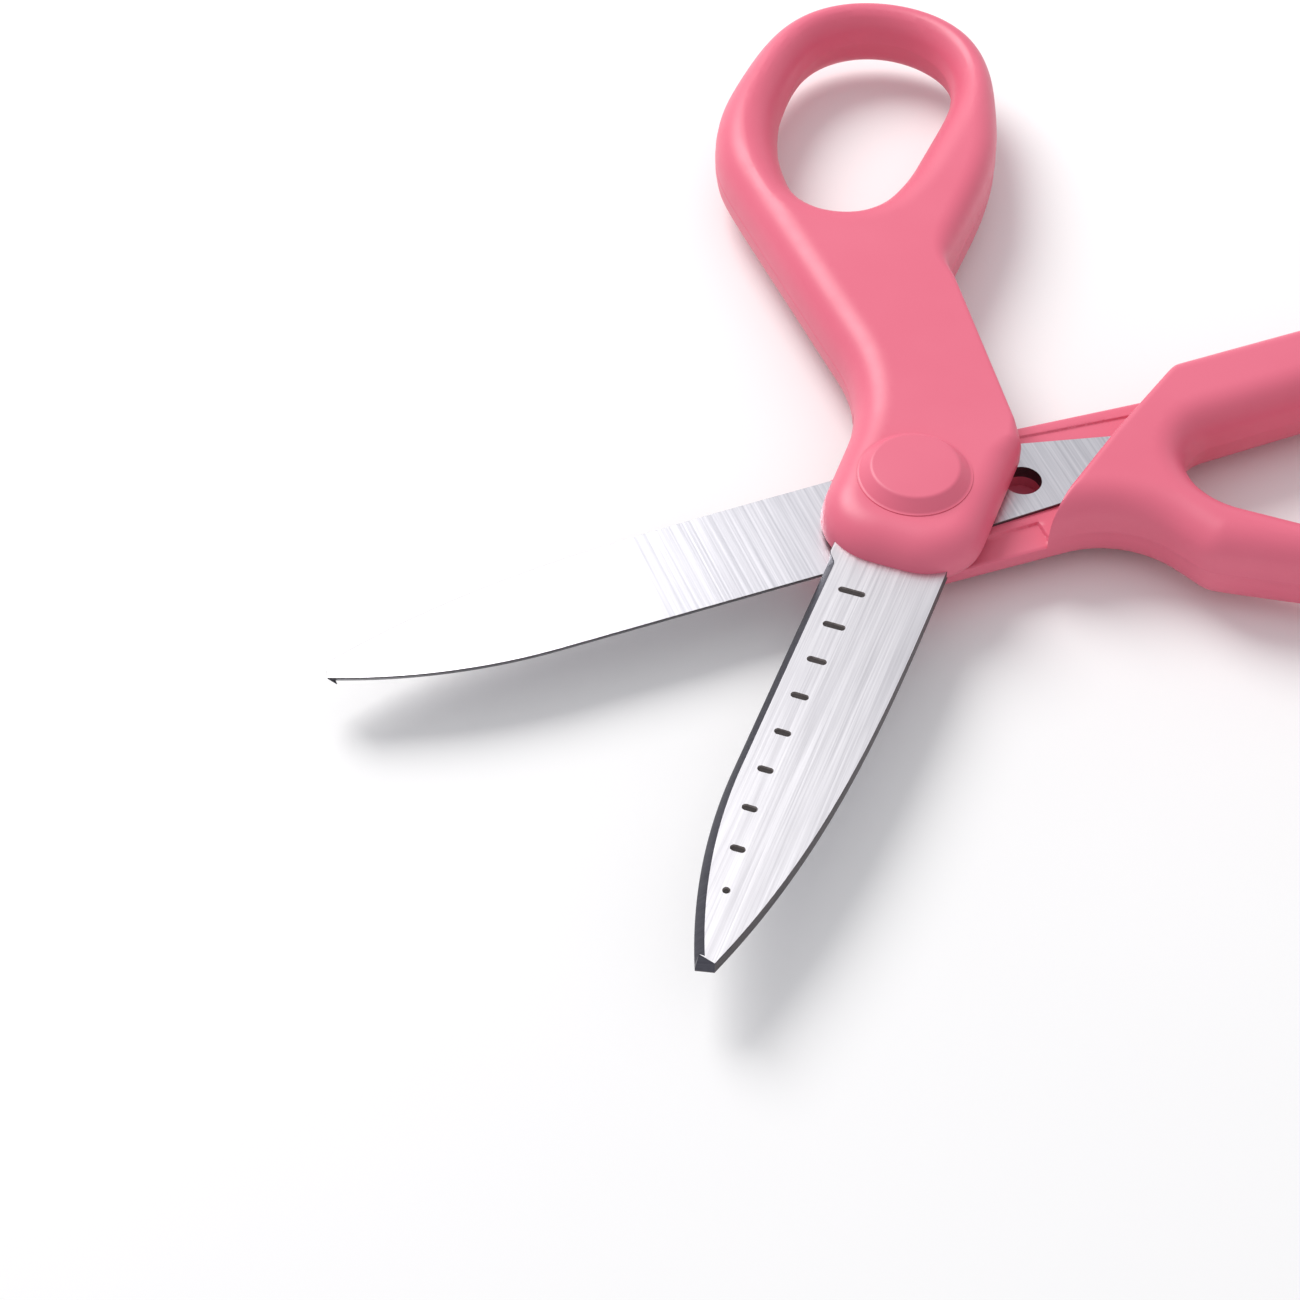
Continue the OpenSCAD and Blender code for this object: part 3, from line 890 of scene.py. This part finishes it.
def moulded_plastic(name):
    material, g, shader, place = new_material(name)
    flow = noise(g, place, 45, 3).ramp(0.35, 0.7)
    grain = noise(g, place, 2600, 2)
    haze = noise(g, place, 420, 3)
    finish(g, shader, tinted(g, flow * 0.5 + haze * 0.15, ROSE, ROSE_DEEP), 0.36 + haze * 0.1,
           bump=grain + haze * 0.6, strength=0.10, distance=0.00004)
    return material


handle_plastic = moulded_plastic("rose_handle_plastic")
cap_plastic = moulded_plastic("rose_cap_plastic")


# %% Steels


def brushed(name, turn, along, across, light, dark, base_rough, metal=1.0):
    """Steel with a grain: steps of `along` metres up the blade and `across` metres over it."""
    material, g, shader, place = new_material(name)
    fine = noise(g, stretched(g, place, turn, (across, along, across)), 1, 4, 0.6)
    broad = noise(g, stretched(g, place, turn, (across * 5, along * 2.5, across * 5)), 1, 2)
    stain = noise(g, place, 90, 3)
    tone = (fine * 0.6 + broad * 0.4).ramp(0.3, 0.72)
    finish(g, shader, tinted(g, tone * 0.8 + stain * 0.2, dark, light), base_rough + fine * 0.14,
           bump=fine * 0.8 + broad * 0.5, strength=0.16, distance=0.00003, metallic=metal)
    return material


def blade_finishes_and_shades(half, turn):
    return [brushed(f"{half}_outer_brushed", turn, 0.02, 0.00018,
                    (0.78, 0.77, 0.80), (0.56, 0.55, 0.58), 0.26),
            brushed(f"{half}_inner_ground", turn, 0.00028, 0.03,
                    (0.76, 0.75, 0.79), (0.50, 0.50, 0.54), 0.26),
            # The bevel and the sheared sides are the same steel as the faces: their near-black colours are
            # painted shade.
            brushed(f"{half}_bevel", turn, 0.00015, 0.01,
                    (0.10, 0.10, 0.12), (0.06, 0.06, 0.075), 0.34),
            brushed(f"{half}_sheared_side", turn, 0.01, 0.0001,
                    (0.16, 0.145, 0.15), (0.09, 0.08, 0.085), 0.42),
            # The marks' sunk faces are coloured dark: painted shade in the grooves.
            brushed(f"{half}_pressed_mark", turn, 0.0003, 0.0003,
                    (0.30, 0.27, 0.26), (0.12, 0.10, 0.10), 0.45)]


OUTER, INNER, BEVEL, SIDE, MARK = range(5)
FLAT = 0.97                     # how squarely a blade's flat faces point along Z
BEVEL_TILT = (0.15, 0.95)       # and how squarely its bevel does
BEVEL_NEAR = 4                  # the bevel lies this close to the cutting edge, in mm
MARKS_UP, MARKS_ACROSS = (16, 70), (-4, 2)     # the marks' field: up the blade, from -4 to edge - 2


def dress_blade(piece, finishes_and_shades):
    """Gives each face of a blade, still in its own frame, the finish of the surface it belongs to, or the
    dark painted shade of the bevel, the sides and the marks.
    """
    piece.data.materials.clear()
    for material in finishes_and_shades:
        piece.data.materials.append(material)
    for face in piece.data.polygons:
        x, y, z = face.center
        face.material_index = SIDE
        if face.normal.z > FLAT:
            face.material_index = OUTER
        elif face.normal.z < -FLAT:
            face.material_index = INNER
        elif BEVEL_TILT[0] < face.normal.z < BEVEL_TILT[1] and abs(x - edge_x(y)) < BEVEL_NEAR:
            face.material_index = BEVEL
        across = MARKS_ACROSS[0] < x < edge_x(y) - MARKS_ACROSS[1]
        in_marks = MARKS_UP[0] < y < MARKS_UP[1] and across
        # Faces sunk in a mark take its dark colour, which is painted shade.
        if in_marks and BLADE_OUT - MARK_DEPTH - 0.02 < z < BLADE_OUT - 0.01:
            face.material_index = MARK


# A near-black strip of painted shade on each mark's floor.
mark_shade_black = brushed("dark_mark_scale", HALF_OPEN, 0.0004, 0.0004,
                      (0.05, 0.04, 0.04), (0.02, 0.016, 0.016), 0.6, 0.3)
cutters = marks_mesh("mark_cutters", **MARK_ROW, width=1.05, floor_width=0.62, foot=BLADE_OUT - MARK_DEPTH,
                     top=BLADE_OUT + 0.05, material=mark_shade_black)
from_cutter(front_blade, cutters)
shade_strips = marks_mesh("length_mark_scale", **MARK_ROW, width=0.6, floor_width=0.5, foot=BLADE_OUT - MARK_DEPTH,
                    top=BLADE_OUT - MARK_DEPTH + 0.04, material=mark_shade_black)
for point in shade_strips.data.vertices:
    point.co.x -= SHADE_STRIP_SHIFT
dress_blade(front_blade, blade_finishes_and_shades("upper_blade", HALF_OPEN))
dress_blade(rear_blade, blade_finishes_and_shades("lower_blade", -HALF_OPEN))
for piece, half, node in [(front_blade, "upper_half", "front_blade"),
                          (rear_blade, "lower_half", "rear_blade")]:
    set_in_place(piece, half, sharp_over=20)
    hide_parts(node)
set_in_place(shade_strips, "upper_half")

# %% Dressing the rest
for piece in (thumb_handle, finger_handle):
    piece.data.materials.clear()
    piece.data.materials.append(handle_plastic)
for name in ("upper_pivot_cap", "lower_pivot_cap"):
    bpy.data.objects[name].data.materials.append(cap_plastic)
rivet_steel = brushed("drawn_rivet_steel", 0, 0.0004, 0.0004, (0.66, 0.66, 0.68), (0.50, 0.50, 0.52), 0.3)
zinc = brushed("zinc_plate", 0, 0.0015, 0.0015, (0.62, 0.64, 0.68), (0.48, 0.49, 0.52), 0.38)


def natural_nylon():
    material, g, shader, place = new_material("natural_nylon")
    cloud = noise(g, place, 300, 3)
    finish(g, shader, tinted(g, cloud, (0.80, 0.78, 0.70), (0.72, 0.69, 0.60)), 0.5 + cloud * 0.1)
    return material


for node, material in [("pivot_rivet", rivet_steel), ("flat_washer", zinc), ("spring_washer", zinc),
                       ("slip_washer", natural_nylon())]:
    slots = frame["nodes"][node].material_slots
    slots[0].material = material
    print(node, "dressed in", material.name)

# %% [markdown]
# ## Floor, light and camera
# The scissors lie on a pale floor. One large soft light stands to one side of them, halfway up, and
# its shadows fall away to the other side. The rest is an even, slightly cool surround, which keeps
# the shadows soft and grey.

# %% Stage
LIGHT_AZIMUTH, LIGHT_ELEVATION = -9.5, 44
KEY_DISTANCE, KEY_SIZE, KEY_POWER = 0.9, 0.55, 6.2
AMBIENT = (0.67, 0.67, 0.69)


def floor():
    mesh = bpy.data.meshes.new("floor")
    far, low = 2.5, -5e-5          # a hair under the caps, so that the two surfaces don't share a plane
    mesh.from_pydata([(-far, -far, low), (far, -far, low), (far, far, low), (-far, far, low)],
                     [], [(0, 1, 2, 3)])
    piece = new_object("floor", mesh)
    material, g, shader, place = new_material("pale_floor")
    tone = noise(g, place, 40, 2)
    finish(g, shader, tinted(g, tone, (0.90, 0.90, 0.90), (0.89, 0.89, 0.89)), 0.9)
    mesh.materials.append(material)
    return piece


def towards(azimuth, elevation):
    a, e = math.radians(azimuth), math.radians(elevation)
    return Vector((math.cos(a) * math.cos(e), math.sin(a) * math.cos(e), math.sin(e)))


def area_light(name, direction, distance, size, power, colour):
    lamp = bpy.data.lights.new(name, "AREA")
    lamp.shape, lamp.size, lamp.energy, lamp.color = "DISK", size, power, colour
    holder = bpy.data.objects.new(name, lamp)
    holder.location = direction * distance
    holder.rotation_euler = (-direction).to_track_quat("-Z", "Y").to_euler()
    bpy.context.scene.collection.objects.link(holder)
    return holder


floor()
area_light("key_light", towards(LIGHT_AZIMUTH, LIGHT_ELEVATION), KEY_DISTANCE, KEY_SIZE, KEY_POWER,
           colour=(1, 0.985, 0.97))
world = bpy.data.worlds.new("surround")
bpy.context.scene.world = world
world.use_nodes = True
world.node_tree.nodes["Background"].inputs["Color"].default_value = (*AMBIENT, 1)
bpy.context.scene.view_settings.view_transform = "Standard"

# %% Camera
CAMERA_AZIMUTH, CAMERA_ELEVATION = math.radians(224.8), math.radians(48.5)
CAMERA_AIM, CAMERA_DISTANCE, LENS = Vector((6.4, 41.2, MATE_Z)) * MM, 0.381, 85.85
back = Vector((math.sin(CAMERA_AZIMUTH) * math.cos(CAMERA_ELEVATION),
               -math.cos(CAMERA_AZIMUTH) * math.cos(CAMERA_ELEVATION), math.sin(CAMERA_ELEVATION)))
camera = bpy.data.objects.new("camera", bpy.data.cameras.new("camera"))
camera.location = CAMERA_AIM + back * CAMERA_DISTANCE
camera.rotation_euler = (-back).to_track_quat("-Z", "Y").to_euler()
camera.data.lens = LENS
camera.data.clip_start, camera.data.clip_end = 0.01, 10
bpy.context.scene.collection.objects.link(camera)
bpy.context.scene.camera = camera
